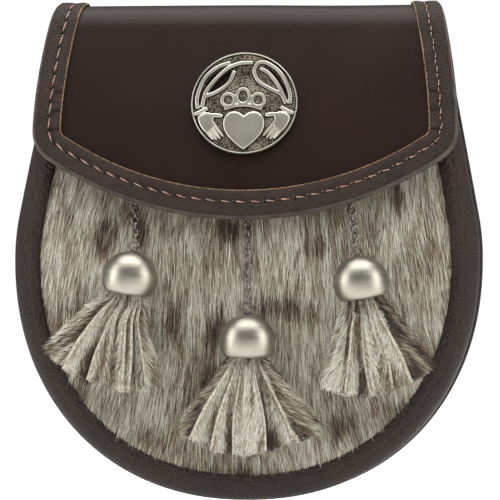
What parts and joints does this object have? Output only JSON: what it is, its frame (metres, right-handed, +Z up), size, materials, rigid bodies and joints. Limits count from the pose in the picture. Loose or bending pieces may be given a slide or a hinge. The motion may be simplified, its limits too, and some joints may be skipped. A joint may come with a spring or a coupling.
{
  "type": "sporran pouch",
  "caption": "Rounded leather belt pouch with a hair-on hide front, a bound flap with a round badge, and hide tassels in bell caps on fine chains.",
  "frame": {"origin": "on the flat back face, midway between the two belt loops and at their mid height", "axes": "+Z up as worn, front towards -Y, +X to the right as seen from the front"},
  "size_m": [0.1924, 0.0731, 0.2055],
  "materials": {
    "body_leather": "dark brown pebble grain, semi-matt",
    "flap_leather": "dark brown smooth leather with a soft satin sheen",
    "binding_leather": "dark brown fine grain folded strip with a raw tan inner edge",
    "hide": "hair-on hide, grey cream with dark brown patches",
    "hair": "short straight animal hair, soft sheen",
    "tassel_hide": "strips of hair-on hide, cream and brown",
    "thread": "waxed tan sewing thread",
    "pewter": "antique pewter, darkened in its recesses",
    "nickel": "satin nickel, brushed round",
    "chain_metal": "gunmetal plated, semi-gloss"
  },
  "bodies": {
    "root": {"back_panel": "body_leather", "gusset": "body_leather", "front_panel": "hide", "flap": "flap_leather", "flap_binding": "binding_leather", "concho": "pewter", "concho_screw": "nickel", "flap_snap": "nickel", "chain_anchor_left": "nickel", "chain_anchor_middle": "nickel", "chain_anchor_right": "nickel", "chain_left": "chain_metal", "chain_middle": "chain_metal", "chain_right": "chain_metal", "cap_ring_left": "chain_metal", "cap_ring_middle": "chain_metal", "cap_ring_right": "chain_metal", "cap_left": "nickel", "cap_middle": "nickel", "cap_right": "nickel", "tassel_left": "tassel_hide", "tassel_middle": "tassel_hide", "tassel_right": "tassel_hide", "belt_loop_left": "body_leather", "belt_loop_right": "body_leather"}
  },
  "joints": []
}
